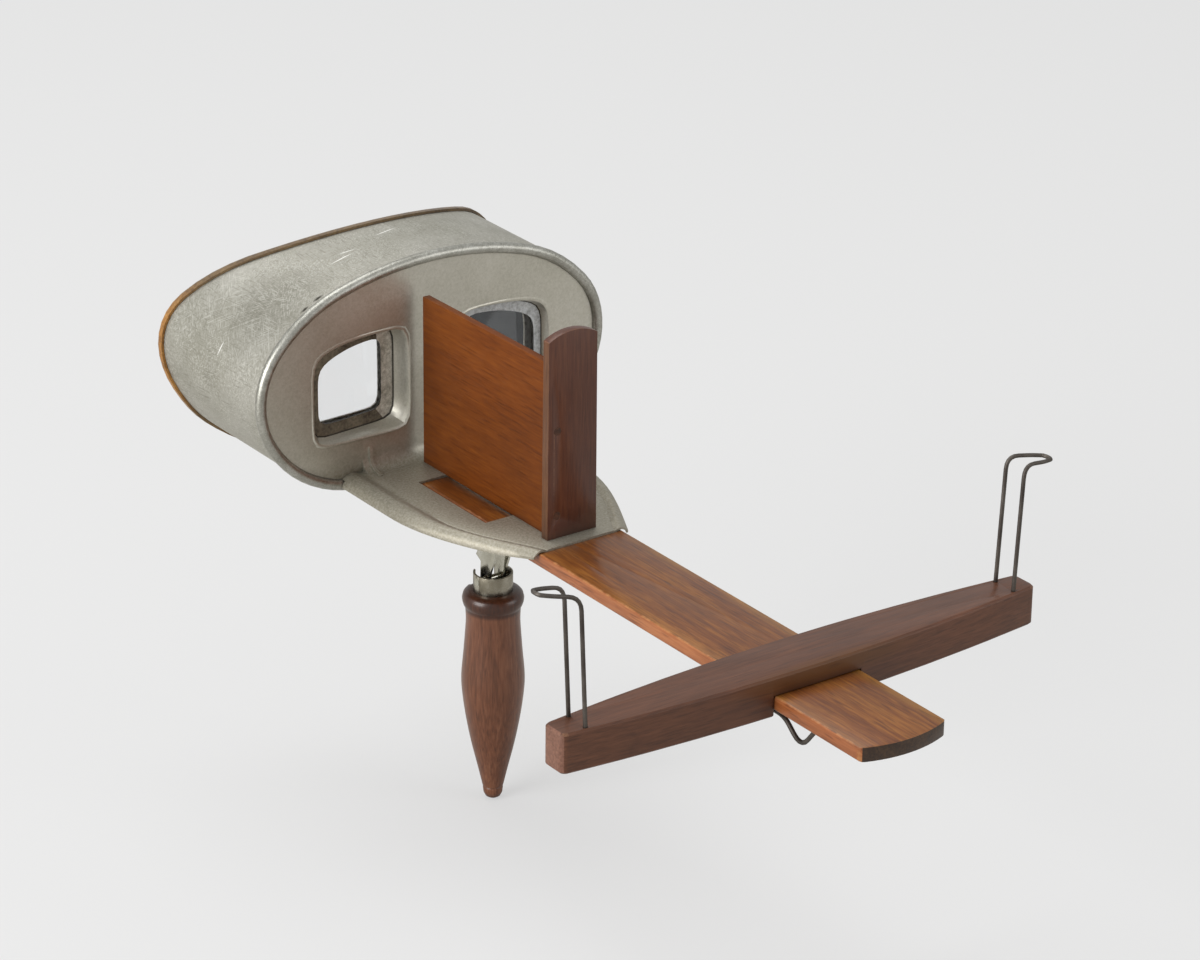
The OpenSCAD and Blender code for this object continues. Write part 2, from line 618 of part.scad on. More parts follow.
// The spring is rooted in both cheeks, runs in under the bed behind the card rest's front
// face, dips in a bow on each side and presses up on the bed where it crosses.
spring_x = bed_w/2 + slide_gap + 3.4;
spring_back = 3;
spring_root = 5;
spring_bow_x = 0.72*bed_w/2;
spring_bow = 7.5;
module slide_spring() {
    under = -slide_gap - spring_r;
    low = -cheek_drop - spring_r - 0.4;
    front = -rest_mid_w/2;
    half = [[spring_x, spring_back, spring_root - cheek_drop - over],
        [spring_x, spring_back, low], [spring_bow_x, spring_back, low],
        [spring_bow_x, front + 1, low], [spring_bow_x, front - spring_bow, -spring_drop],
        [spring_bow_x, front - 2*spring_bow, under]];
    path = rounded(concat(half, backwards([for (p = half) [-p[0], p[1], p[2]]])),
        [0, 1, 2.5, 3, 5, 1.6, 1.6, 5, 3, 2.5, 1, 0], 5);
    color(steel_dark) translate([0, rest_y, 0]) wire(path, spring_r, [0, 1, 0]);
}

// A folded bracket: a base plate under the bed and two ears that reach down to the pin.
module handle_bracket() {
    eye_r = pin_r + 1.45;
    ear = concat([[-6, 0], [-6, pin_z + 10.4], [-3.3, pin_z + 3.9]],
        arc([0, pin_z], eye_r, 270, 90, 10),
        [[2.4, pin_z + 6.2], [5.2, pin_z + 7.8], [4, pin_z + 10.2], [4.6, -4], [6, 0]]);
    color(nickel) difference() {
        union() {
            translate([-base_half_w, handle_y - base_half_len, -1])
                cube([2*base_half_w, 2*base_half_len, 1]);
            for (x = [-ear_span/2, ear_span/2 - ear_t])
                translate([x, handle_y, 0]) rotate([90, 0, 90]) linear_extrude(ear_t)
                    polygon(ear);
        }
        bar([-ear_span, handle_y, pin_z], [0, 90, 0], pin_r + pin_gap, 2*ear_span);
        for (s = [-1, 1])
            bar([0, handle_y + s*screw_y, -2*over], [0, 0, 0], screw_r + slack, 3*over);
    }
}

module bracket_screws() {
    dome_r = 3.2;
    drop = sqrt(dome_r*dome_r - screw_head_r*screw_head_r);
    color(nickel) for (s = [-1, 1]) translate([0, handle_y + s*screw_y, 0]) difference() {
        union() {
            intersection() {
                translate([0, 0, drop - 1]) sphere(r = dome_r);
                bar([0, 0, -1 - dome_r], [0, 0, 0], screw_head_r, dome_r);
            }
            bar([0, 0, -1 - 0.3], [0, 0, 0], screw_r, screw_grip + 1 + 0.3);
        }
        translate([-screw_head_r, -0.3, -1 - dome_r + drop - 0.1])
            cube([2*screw_head_r, 0.6, 0.6]);
    }
}

module hinge_pin() {
    color("#c9c7b4") bar([-ferrule_r, handle_y, pin_z], [0, 90, 0], pin_r, 2*ferrule_r);
}

// A drawn cup, slotted behind so that the ears can swing out as the handle folds back.
fold_half_w = ear_span/2 + 0.6;
module ferrule() {
    color(nickel) translate([0, handle_y, 0]) difference() {
        bar([0, 0, seat_z], [0, 0, 0], ferrule_r, mouth_z - seat_z);
        bar([0, 0, seat_z + ferrule_wall], [0, 0, 0], ferrule_r - ferrule_wall, 2*ferrule_r);
        translate([-fold_half_w, 0, seat_z + ferrule_sunk])
            cube([2*fold_half_w, 2*ferrule_r, 2*ferrule_r]);
        bar([-2*ferrule_r, 0, pin_z], [0, 90, 0], pin_r, 4*ferrule_r);
        bar([0, 0, seat_z - over], [0, 0, 0], grip_screw_r + slack, 3*over);
    }
}

module handle_screw() {
    z = seat_z + ferrule_wall;
    color("#8f8c80") translate([0, handle_y, 0]) difference() {
        union() {
            bar([0, 0, z], [0, 0, 0], grip_screw_head_r, 0.6);
            bar([0, 0, z - grip_screw_len], [0, 0, 0], grip_screw_r, grip_screw_len + 0.3);
        }
        translate([-grip_screw_head_r, -0.3, z + 0.3]) cube([2*grip_screw_head_r, 0.6, 1]);
    }
}

// The turned outline passes smoothly through a few radii, given as depth and radius.
function smooth(a, b, c, d, t) = b + 0.5*t*(c - a + t*(2*a - 5*b + 4*c - d
    + t*(3*(b - c) + d - a)));
function turned(k, n) = concat([for (i = [1:len(k) - 3], j = [0:n - 1])
    smooth(k[i - 1], k[i], k[i + 1], k[i + 2], j/n)], [k[len(k) - 2]]);
module handle_grip() {
    lip_r = ferrule_r + seat;
    l = grip_len;
    bead = [[0.82*collar_r, ferrule_sunk - 0.2], [0.9*collar_r, ferrule_sunk - 0.6],
        [0.965*collar_r, -0.9], [collar_r, -2.4], [0.985*collar_r, -3.7],
        [0.95*collar_r, -4.8], [0.915*collar_r, -5.3]];
    knots = [[waist_r + 0.5, -4], [waist_r + 0.2, -5.6], [waist_r, -8.5], [waist_r, -12],
        [0.925*belly_r, -0.28*l], [belly_r, -0.406*l], [0.96*belly_r, -0.5*l],
        [0.85*belly_r, -0.61*l], [0.69*belly_r, -0.727*l], [0.49*belly_r, -0.844*l],
        [0.36*belly_r, -0.923*l], [0.33*belly_r, -0.94*l], [0.3*belly_r, -0.96*l]];
    tip = [[0.3*belly_r, -0.945*l], [0.32*belly_r, -0.952*l], [0.3*belly_r, -0.975*l],
        [0.24*belly_r, -0.992*l], [0.15*belly_r, -l], [0, -l]];
    color("#7b4a3c") translate([0, handle_y, seat_z]) difference() {
        rotate_extrude() polygon(concat([[0, 0], [lip_r, 0], [lip_r, ferrule_sunk]], bead,
            turned(knots, 4), tip));
        translate([-fold_half_w, lip_r - 1, -1.2]) cube([2*fold_half_w, collar_r, 4]);
        bar([0, 0, -grip_screw_len + ferrule_wall - slack], [0, 0, 0], grip_screw_r + slack,
            grip_screw_len);
    }
}

bed();
lens_board();
hood_shell();
hood_binding();
left_lens();
right_lens();
left_lens_frame();
right_lens_frame();
septum();
septum_nails();
front_board();
front_board_nails();
card_rest();
left_card_wire();
right_card_wire();
slide_spring();
handle_bracket();
bracket_screws();
hinge_pin();
ferrule();
handle_screw();
handle_grip();
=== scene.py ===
# %% [markdown]
# # A hand stereoscope in a pale studio
# A stereoscope lets two eyes look through two lenses at a card with two pictures. This one has a
# sheet-metal hood and lens board, a wooden bed, a card rest that slides along it, and a turned
# handle. Its solids come from the CAD model, which is the frame: they are already at their true
# size and place. This lesson gives each one the surface that its maker and its years gave it.

# %% Load the frame
import functools
import json
import math
import bpy
from mathutils import Matrix, Vector

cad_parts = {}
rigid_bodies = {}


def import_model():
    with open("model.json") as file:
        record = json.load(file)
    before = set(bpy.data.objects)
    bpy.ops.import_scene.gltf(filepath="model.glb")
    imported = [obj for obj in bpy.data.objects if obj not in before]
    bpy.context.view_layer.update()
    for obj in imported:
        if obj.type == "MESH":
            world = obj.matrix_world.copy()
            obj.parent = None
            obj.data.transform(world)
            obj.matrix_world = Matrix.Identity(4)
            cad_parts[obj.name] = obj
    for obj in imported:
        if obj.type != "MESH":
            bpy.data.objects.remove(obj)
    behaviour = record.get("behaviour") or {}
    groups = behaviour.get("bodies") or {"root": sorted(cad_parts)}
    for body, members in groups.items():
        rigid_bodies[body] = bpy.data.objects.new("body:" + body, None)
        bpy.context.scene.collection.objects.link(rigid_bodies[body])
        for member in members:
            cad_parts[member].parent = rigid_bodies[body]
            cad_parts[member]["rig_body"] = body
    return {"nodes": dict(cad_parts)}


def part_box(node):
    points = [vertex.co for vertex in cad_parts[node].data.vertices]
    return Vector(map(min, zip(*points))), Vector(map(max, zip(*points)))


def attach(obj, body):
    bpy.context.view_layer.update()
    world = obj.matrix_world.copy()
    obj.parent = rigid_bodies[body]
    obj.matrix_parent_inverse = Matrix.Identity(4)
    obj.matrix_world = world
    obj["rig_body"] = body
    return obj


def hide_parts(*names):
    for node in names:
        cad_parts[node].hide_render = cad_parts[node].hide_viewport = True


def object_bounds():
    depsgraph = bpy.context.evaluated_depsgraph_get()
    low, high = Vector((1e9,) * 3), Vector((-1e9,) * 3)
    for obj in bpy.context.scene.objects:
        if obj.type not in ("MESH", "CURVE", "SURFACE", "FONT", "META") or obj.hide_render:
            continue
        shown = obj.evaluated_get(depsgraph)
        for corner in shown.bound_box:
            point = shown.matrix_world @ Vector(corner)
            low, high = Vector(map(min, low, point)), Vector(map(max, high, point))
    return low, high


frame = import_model()
cad_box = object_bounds()

# %% [markdown]
# The camera comes first, because everything else is judged through it. Its place was worked out
# from the photograph's perspective: parallel edges of the bed and the card rest meet far away,
# and the card rest's 184 mm gives the distance. All lengths are in metres.

# %% Camera
CAMERA_PLACE = Vector((-0.75077, -1.05105, 0.59689))
CAMERA_TARGET = Vector((0.0, -0.01702, 0.03063))
CAMERA_ROLL = math.radians(0.695)
LENS_MM = 129.894
SENSOR_MM = 36.0
SIGHT_END = 60.0

camera_data = bpy.data.cameras.new("studio_camera")
camera_data.lens = LENS_MM
camera_data.sensor_fit = "HORIZONTAL"
camera_data.sensor_width = SENSOR_MM
camera_data.clip_end = SIGHT_END
camera = bpy.data.objects.new("studio_camera", camera_data)
bpy.context.scene.collection.objects.link(camera)
forward = (CAMERA_TARGET - CAMERA_PLACE).normalized()
level_right = forward.cross(Vector((0, 0, 1))).normalized()
level_up = level_right.cross(forward)
right = level_right * math.cos(CAMERA_ROLL) + level_up * math.sin(CAMERA_ROLL)
up = level_up * math.cos(CAMERA_ROLL) - level_right * math.sin(CAMERA_ROLL)
camera.matrix_world = Matrix((
    (right.x, up.x, -forward.x, CAMERA_PLACE.x),
    (right.y, up.y, -forward.y, CAMERA_PLACE.y),
    (right.z, up.z, -forward.z, CAMERA_PLACE.z),
    (0, 0, 0, 1),
))
bpy.context.scene.camera = camera
print("camera:", round((CAMERA_TARGET - CAMERA_PLACE).length, 3), "m from its target")

# %% [markdown]
# Two helpers serve every material. Colours are written as sRGB hex values, as a picture editor
# shows them, and Blender's sockets take linear light, so one function turns one into the other.
# The other adds a node, sets it and links it in one call, and gives back the output that the next
# node needs, so a chain of nodes reads from the inside out. A new material comes with that
# function already tied to its own tree, under the name of node.

# %% Colour and node helpers
MM = 0.001


def linear(hex_colour):
    """An sRGB hex colour as linear red, green, blue and alpha."""
    parts = [int(hex_colour[i:i + 2], 16) / 255 for i in (1, 3, 5)]
    light = [c / 12.92 if c <= 0.04045 else ((c + 0.055) / 1.055) ** 2.4 for c in parts]
    return (*light, 1.0)


def add(tree, kind, values=(), out=None, stops=(), **settings):
    """Adds one node and gives back its first output in use, or the one named by out. Settings are
    its properties. Values go on the inputs that these leave in use, in order or by name: a socket
    is linked, and a hex colour is made linear. Stops are a colour ramp's (place, colour) pairs."""
    made = tree.nodes.new("ShaderNode" + kind)
    for name, value in settings.items():
        setattr(made, name, value)
    used = [socket for socket in made.inputs if socket.enabled]
    if isinstance(values, dict):
        used = [next(s for s in used if s.name == name) for name in values]
        values = values.values()
    for socket, value in zip(used, values):
        if isinstance(value, bpy.types.NodeSocket):
            tree.links.new(value, socket)
        else:
            socket.default_value = linear(value) if isinstance(value, str) else value
    stops = list(stops)
    while stops and len(made.color_ramp.elements) < len(stops):
        made.color_ramp.elements.new(0.5)
    for index, (place, colour) in enumerate(stops):
        element = made.color_ramp.elements[index]
        element.position = place
        element.color = linear(colour) if isinstance(colour, str) else (*[colour] * 3, 1)
    return made.outputs[out] if out else next((s for s in made.outputs if s.enabled), None)


def new_material(name):
    """An empty material, and the function that adds a node to it."""
    material = bpy.data.materials.new(name)
    material.use_nodes = True
    material.node_tree.nodes.clear()
    return material, functools.partial(add, material.node_tree)


print("helpers: a mid grey is", round(linear("#808080")[0], 3), "in linear light")

# %% [markdown]
# The materials ask the same few questions of a point: what noise lies there, how far along the
# part it is, whether it is in a worn place, whether it lies in a hollow that gets painted shade,
# and whether the camera sees it straight. Each question gets a small group of nodes. They read
# object coordinates, so a pattern stays on its piece when the piece moves, and they take real
# sizes in millimetres.

# %% Patterns and places
def pattern(node, size_mm, stretch=(1, 1, 1), turn=(0, 0, 0), detail=3.0, rough=0.5, shift=0.0,
            warp=0.0):
    """Noise in object coordinates. Its spots are about size_mm across, and longer along the
    turned axes where stretch is more than 1."""
    place = node("Mapping", {
        "Vector": node("TexCoord", out="Object"), "Location": (shift, shift * 0.7, -shift * 0.4),
        "Rotation": [math.radians(a) for a in turn], "Scale": stretch}, vector_type="TEXTURE")
    return node("TexNoise", {
        "Vector": place, "Scale": 1 / (size_mm * 2 * MM), "Detail": detail,
        "Roughness": rough, "Distortion": warp})


def rise(node, axis, low_mm, high_mm, centre_mm=None):
    """0 below one place on an axis of the part and 1 above another, with an even slope between.
    With a centre, the places are distances from it to either side."""
    value = node("SeparateXYZ", [node("TexCoord", out="Object")], out=axis)
    if centre_mm is not None:
        value = node("Math", (value, centre_mm * MM), operation="SUBTRACT")
        value = node("Math", [value], operation="ABSOLUTE")
    return node("MapRange", {"Value": value, "From Min": low_mm * MM, "From Max": high_mm * MM})


def spot(node, place_mm, size_mm, turn=(0, 0, 0), soft=0.5):
    """1 inside an egg of three half sizes in the part's own space, and 0 outside, with a soft
    edge."""
    inside = node("Mapping", {
        "Vector": node("TexCoord", out="Object"), "Location": [c * MM for c in place_mm],
        "Rotation": [math.radians(a) for a in turn],
        "Scale": [s * MM for s in size_mm]}, vector_type="TEXTURE")
    from_middle = node("VectorMath", [inside], operation="LENGTH")
    return node("ValToRGB", [from_middle], stops=[(1 - soft, 1.0), (1.0, 0.0)])


def shaded_in_hollows(node, colour, reach_mm, deepest):
    """The colour with painted shade: darkened where ambient occlusion finds the surface hidden from
    the open air.
    """
    air = node("AmbientOcclusion", {"Distance": reach_mm * MM}, out="AO", samples=8)
    hollow_shade = node("ValToRGB", [air], stops=[(0.25, deepest), (0.8, 1.0)])
    return node("Mix", (0.9, colour, hollow_shade), data_type="RGBA", blend_type="MULTIPLY")


def seen_directly(node):
    """1 for what the camera sees, straight or through glass, and 0 for all other light."""
    rays = [node("LightPath", out=name) for name in ("Is Camera Ray", "Is Transmission Ray")]
    return node("Math", rays, operation="MAXIMUM")


print("node groups: pattern, rise, spot, grimed, seen_directly")

# %% [markdown]
# The photograph's ground is an even pale grey with hardly a horizon, as a paper sweep gives. One
# large floor does the same here. What the camera or the glass sees of it is mostly its own plain
# colour, and a share of true diffuse light on it keeps the object's soft shadow. For the light
# that bounces from it into the object the paper is darker, because in the photograph the faces
# that look at the camera's side of the room are half as bright as the ones that look up.

# %% Floor and world
GROUND = "#E7E7E7"
BOUNCE = "#BDBBB7"
ROOM = "#F5F5F4"
FLOOR_SIZE = 24
FLOOR_GAP = 0.4 * MM
SHADOW_SHARE = 0.36
OWN_LIGHT = 0.945
AMBIENT = 0.62

lowest = cad_box[0][2]
bpy.ops.object.select_all(action="DESELECT")
bpy.ops.mesh.primitive_plane_add(size=FLOOR_SIZE, location=(0, 0, lowest - FLOOR_GAP))
floor = bpy.context.object
floor.name = "paper_floor"

paper, paper_node = new_material("paper_sweep")
seen = seen_directly(paper_node)
own = paper_node("Emission", {"Color": GROUND, "Strength": OWN_LIGHT})
lit = paper_node("BsdfDiffuse", {
    "Color": paper_node("Mix", (seen, BOUNCE, GROUND), data_type="RGBA")})
own_share = paper_node("Math", (seen, 1 - SHADOW_SHARE), operation="MULTIPLY")
paper_node("OutputMaterial", {"Surface": paper_node("MixShader", (own_share, lit, own))})
floor.data.materials.append(paper)

world = bpy.data.worlds.new("pale_room")
bpy.context.scene.world = world
world.use_nodes = True
world.node_tree.nodes.clear()
world_node = functools.partial(add, world.node_tree)
room = world_node("Background", {"Color": ROOM, "Strength": AMBIENT})
sweep = world_node("Background", {"Color": GROUND, "Strength": 1.0})
world_node("OutputWorld", {
    "Surface": world_node("MixShader", (seen_directly(world_node), room, sweep))})
print("floor:", round(-lowest / MM, 1), "mm below the bed")

# %% [markdown]
# The light is soft and comes mostly from above and from the left: the bed's long side is the
# brightest wood, and the ends of things that face the camera's right are darkest. Large area
# lamps do that. Their size sets how soft the shadows are.

# %% Lamps
LAMP_AIM = Vector((0, 0, 0.02))


def softbox(name, place, size, power):
    """A square area lamp that looks at the stereoscope. Power is in watts."""
    data = bpy.data.lights.new(name, "AREA")
    data.size = size
    data.energy = power
    lamp = bpy.data.objects.new(name, data)
    lamp.location = place
    lamp.rotation_euler = (LAMP_AIM - Vector(place)).to_track_quat("-Z", "Y").to_euler()
    bpy.context.scene.collection.objects.link(lamp)


softbox("left_softbox", (-1.8, 0.0, 0.6), 1.2, 30)
softbox("overhead_softbox", (-0.1, 0.7, 1.9), 1.5, 17)
softbox("right_softbox", (1.3, -1.6, 0.7), 1.2, 9)
scene = bpy.context.scene
scene.view_settings.view_transform = "Standard"

# %% [markdown]
# No real edge is perfectly sharp, and a rounded edge is where a finish rubs off first. So each
# corner of the narrow faces that a bevel makes is marked in an attribute called wear, and a
# material can rub the finish off just there.

# %% Mark the rounded edges
NARROW = 1.2


def mark_wear(piece, round_mm):
    """Writes 1 on the corners of the narrow faces that a bevel made, and 0 elsewhere."""
    values = [0.0] * len(piece.data.loops)
    for face in piece.data.polygons:
        lengths = [(piece.data.vertices[a].co - piece.data.vertices[b].co).length
                   for a, b in face.edge_keys]
        if min(lengths) < NARROW * round_mm * MM and len(face.vertices) <= 6:
            for loop in face.loop_indices:
                values[loop] = 1.0
    piece.data.attributes["wear"].data.foreach_set("value", values)


print("edge faces: narrower than", NARROW, "times the rounding")

# %% [markdown]
# A CAD node arrives as loose triangles. To shade it as one surface and to round its edges, a
# copy is welded, its flat faces are joined again, and its sharp edges get a small bevel. The
# copy then stands for its node: it rides on the same body, and the node is hidden.

# %% Weld and round a copy of a CAD node
WELD_MM = 0.002
FLAT_DEGREES = 0.6
BEVEL_STEPS = 2


def finished(name, piece_name, round_mm=0.0, sharp=32, flat=True):
    """A welded copy of a CAD node that stands for it, with its sharp edges rounded."""
    piece = bpy.data.objects.new(piece_name, frame["nodes"][name].data.copy())
    piece.data.name = piece_name
    piece.data.materials.clear()
    bpy.context.scene.collection.objects.link(piece)
    bpy.ops.object.select_all(action="DESELECT")
    piece.select_set(True)
    bpy.context.view_layer.objects.active = piece
    bpy.ops.mesh.customdata_custom_splitnormals_clear()
    bpy.ops.object.mode_set(mode="EDIT")
    bpy.ops.mesh.select_all(action="SELECT")
    bpy.ops.mesh.remove_doubles(threshold=WELD_MM * MM)
    if flat:
        bpy.ops.mesh.dissolve_limited(angle_limit=math.radians(FLAT_DEGREES))
    bpy.ops.object.mode_set(mode="OBJECT")
    before = len(piece.data.polygons)
    piece.data.attributes.new("wear", "FLOAT", "CORNER")
    if round_mm:
        bevel = piece.modifiers.new("rounded edges", "BEVEL")
        bevel.width = round_mm * MM
        bevel.segments = BEVEL_STEPS
        bevel.limit_method = "ANGLE"
        bevel.angle_limit = math.radians(sharp)
        bevel.use_clamp_overlap = True
        bevel.material = -1
        bpy.ops.object.modifier_apply(modifier=bevel.name)
        mark_wear(piece, round_mm)
    bpy.ops.object.shade_smooth_by_angle(angle=math.radians(sharp))
    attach(piece, frame["nodes"][name]["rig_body"])
    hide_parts(name)
    print(piece_name + ":", before, "faces, then", len(piece.data.polygons))
    return piece


# %% [markdown]
# The wood is a close hardwood, planed, stained red brown and thinly varnished, then handled for
# a hundred years. A plank doesn't take stain evenly. Its sawn long sides stay lighter, and its
# ends drink the stain: the bed's end is nearly black, and the card rest's ends are rubbed to a
# dull clay brown. The lighter tones of the bed's long sides, the card rest's ends and the front
# board's narrow sides are also partly painted light, as these faces look towards the left lamp.
# So each corner of a face carries two marks, side and end, taken from the way the face looks.

# %% Grain, cut faces and their painted light
GRAIN = {"X": (1, 0, 0), "Y": (0, 1, 0), "Z": (0, 0, 1)}
SQUARE_ON = 0.7


def along_grain(axis, ratio):
    """A pattern's stretch that makes it ratio times longer along one axis."""
    return [1 + (ratio - 1) * share for share in GRAIN[axis]]


def mark_cut_and_lit_faces(piece, along, across):
    """Marks how far each face looks along the grain (end) and across the plank (side)."""
    for name, axis in (("end", GRAIN[along]), ("side", GRAIN[across])):
        marks = piece.data.attributes.new(name, "FLOAT", "CORNER")
        values = [0.0] * len(piece.data.loops)
        for face in piece.data.polygons:
            for loop in face.loop_indices:
                values[loop] = 1.0 if abs(face.normal.dot(Vector(axis))) > SQUARE_ON else 0.0
        marks.data.foreach_set("value", values)


print("grain: along Y it stretches a pattern by", along_grain("Y", 2))

# %% [markdown]
# Along the bed's top edges the varnish has gone in streaks that look golden. The edge away from
# the camera has more of them than the near one, and beside the shelf, where no hand rubs, there
# are none. A streak is noise stretched along the grain, and it is let through only near an edge.

# %% Golden streaks along the edges
STREAK_MM, STREAK_RATIO = 3.0, 12
NEAR_EDGE_SHARE = 0.35
VARNISHED_MM = (-30, -8)


def edge_streaks(node, half_mm, reach_mm, along, shift):
    """1 in streaks along the top edges of a plank of one half width, and 0 elsewhere."""
    streaks = pattern(node, STREAK_MM, along_grain(along, STREAK_RATIO), rough=0.6, shift=shift)
    streaks = node("ValToRGB", [streaks], stops=[(0.34, 0.0), (0.5, 1.0)])
    both_edges = rise(node, "X", half_mm - reach_mm, half_mm, 0.0)
    weaker = node("Math", (both_edges, NEAR_EDGE_SHARE), operation="MULTIPLY")
    far_edge = rise(node, "X", half_mm - reach_mm, half_mm)
    edges = node("Math", (far_edge, weaker), operation="MAXIMUM")
    edges = node("Math", (edges, streaks), operation="MULTIPLY")
    handled = node("Math", (1.0, rise(node, "Y", *VARNISHED_MM)), operation="SUBTRACT")
    return node("Math", (edges, handled), operation="MULTIPLY")


print("streaks:", STREAK_MM, "mm wide and", STREAK_MM * STREAK_RATIO, "mm long")

# %% [markdown]
# The material is laid on in the order in which the finish came about: the stained figure, the
# cut faces, the pores, the dirt of hands and the rubbed edges. Painted shade in the corners goes
# on last. Under the varnish the eye sees soft broad bands, fine lines and short darker pores, all
# along the grain, and every one of them is faint: the stain hides most of the figure. The pores
# and fibres are drawn 0.3 mm wide, about twice the real width, because finer ones would not show
# at this size of picture.
#
# The wood below the varnish is much darker and redder than it looks. The varnish lays a pale
# mirror image of the room over it, strongest on the top faces, which are seen at a low angle,
# and next to the lens board, where the board hides the room, the true colour comes out. The
# shader's specular level and coat make that veil.

# %% Varnished wood
FIBRE_MM, FIBRE_RATIO = 0.32, 14
PORE_MM, PORE_RATIO = 0.3, 14
HAND_DIRT_MM = 16
RUB_MM = 1.6
BEAD_TINT = "#A3958B"


def varnished_wood(name, face, worn, along, side=None, end=None, shift=0.0, band_mm=8.0,
                   band_ratio=9, line_mm=0.6, line_ratio=24, contrast=0.11, pores=0.4,
                   gloss=0.42, wear=0.6, varnish=0.3, shine=0.4, border=None, dark_top=None,
                   patch=None):
    """Stained hardwood with its grain along one axis. Each of face, side and end holds a dark, a
    middle and a light colour. A border holds a plank's half width, its reach and its colour, a
    dark top the heights between which it fades in, and a patch its place, half sizes and colour."""
    material, node = new_material(name)
    bands = pattern(node, band_mm, along_grain(along, band_ratio), detail=2, shift=shift,
                    warp=0.5)
    lines = pattern(node, line_mm, along_grain(along, line_ratio), rough=0.6,
                    shift=shift + 0.3, warp=0.2)
    fibres = pattern(node, FIBRE_MM, along_grain(along, FIBRE_RATIO), detail=2,
                     shift=shift + 0.9)
    figure = node("Mix", (0.5, bands, lines), data_type="RGBA")
    figure = node("Mix", (0.3, figure, fibres), data_type="RGBA")
    places = (0.5 - contrast, 0.5, 0.5 + contrast)
    colour = node("ValToRGB", [figure], stops=zip(places, face))
    if border:
        half_mm, reach_mm, tone = border
        streaks = edge_streaks(node, half_mm, reach_mm, along, shift + 1.4)
        colour = node("Mix", (streaks, colour, tone), data_type="RGBA")
    # Side and end faces take their own tones: partly the stain on cut faces, partly painted light
    # on the faces that look towards the left lamp.
    for cut, tones in (("side", side), ("end", end)):
        if tones:
            marked = node("Attribute", out="Fac", attribute_name=cut)
            cut_and_lit_colour = node("ValToRGB", [figure], stops=zip(places, tones))
            colour = node("Mix", (marked, colour, cut_and_lit_colour), data_type="RGBA")
    if patch:
        place_mm, size_mm, tone = patch
        colour = node("Mix", (spot(node, place_mm, size_mm, soft=0.8), colour, tone),
                      data_type="RGBA")

    specks = pattern(node, PORE_MM, along_grain(along, PORE_RATIO), detail=1, rough=0.4,
                     shift=shift + 0.6)
    specks = node("ValToRGB", [specks], stops=[(0.58, 0.0), (0.7, 1.0)])
    pore = node("Math", (specks, pores), operation="MULTIPLY")
    colour = node("Mix", (pore, colour, face[0]), data_type="RGBA", blend_type="MULTIPLY")
    hands = pattern(node, HAND_DIRT_MM, detail=4, rough=0.6, shift=shift + 2)
    hands = node("ValToRGB", [hands], stops=[(0.32, 0.75), (0.6, 1.0)])
    colour = node("Mix", (0.7, colour, hands), data_type="RGBA", blend_type="MULTIPLY")

    patchy = pattern(node, RUB_MM, detail=5, rough=0.7, shift=shift + 3)
    patchy = node("ValToRGB", [patchy], stops=[(0.44, 0.0), (0.6, 1.0)])
    edges = node("Attribute", out="Fac", attribute_name="wear")
    rubbed = node("Math", (edges, patchy), operation="MULTIPLY")
    rubbed = node("Math", (rubbed, wear), operation="MULTIPLY")
    colour = node("Mix", (rubbed, colour, worn), data_type="RGBA")
    if dark_top:
        colour = node("Mix", (rise(node, "Z", *dark_top), colour, BEAD_TINT), data_type="RGBA",
                      blend_type="MULTIPLY")
    # Painted shade: the wood is darker where it is hidden from the open air, in corners and under
    # other parts.
    colour = shaded_in_hollows(node, colour, 4.0, 0.35)

    relief = node("Math", (lines, 0.6), operation="MULTIPLY")
    relief = node("Math", (relief, pore), operation="SUBTRACT")
    bump = node("Bump", {"Strength": 0.3, "Distance": 0.1 * MM, "Height": relief})
    rough = node("Math", (rubbed, 0.25), operation="MULTIPLY")
    rough = node("Math", (gloss, rough), operation="ADD")
    fine = node("Math", (lines, 0.12), operation="MULTIPLY")
    rough = node("Math", (rough, fine), operation="ADD", use_clamp=True)
    node("OutputMaterial", {"Surface": node("BsdfPrincipled", {
        "Base Color": colour, "Roughness": rough, "Normal": bump, "IOR": 1.5,
        "Specular IOR Level": shine, "Coat Weight": varnish, "Coat Roughness": 0.22})})
    return material


print("varnished wood: pores", PORE_MM, "mm, fibres", FIBRE_MM, "mm")

# %% [markdown]
# Each piece has its own board. The septum's figure is short and mottled, as a board cut flat
# through the growth rings shows, and no varnish is left on it. In the middle of its front, above
# the bed, the card rest gets a painted shade and a painted reflection of the bed, so it is darker
# and more golden there. The front board is darker at its foot, and the handle's bead is darker
# than its belly.

# %% Five woods
BEAD_FOOT_MM = 7.3
BEAD_FADE_MM = 0.6
bed_half_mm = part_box("bed")[1][0] / MM
bed_wood = varnished_wood(
    "stained_cherry_bed", ("#613009", "#774110", "#8F581E"), "#B27A48", "Y",
    side=("#85491F", "#98572D", "#A8683C"), end=("#2C1A0E", "#382415", "#46301D"),
    shift=0.13, band_mm=5, gloss=0.36, border=(bed_half_mm, 4.5, "#9C6A26"))
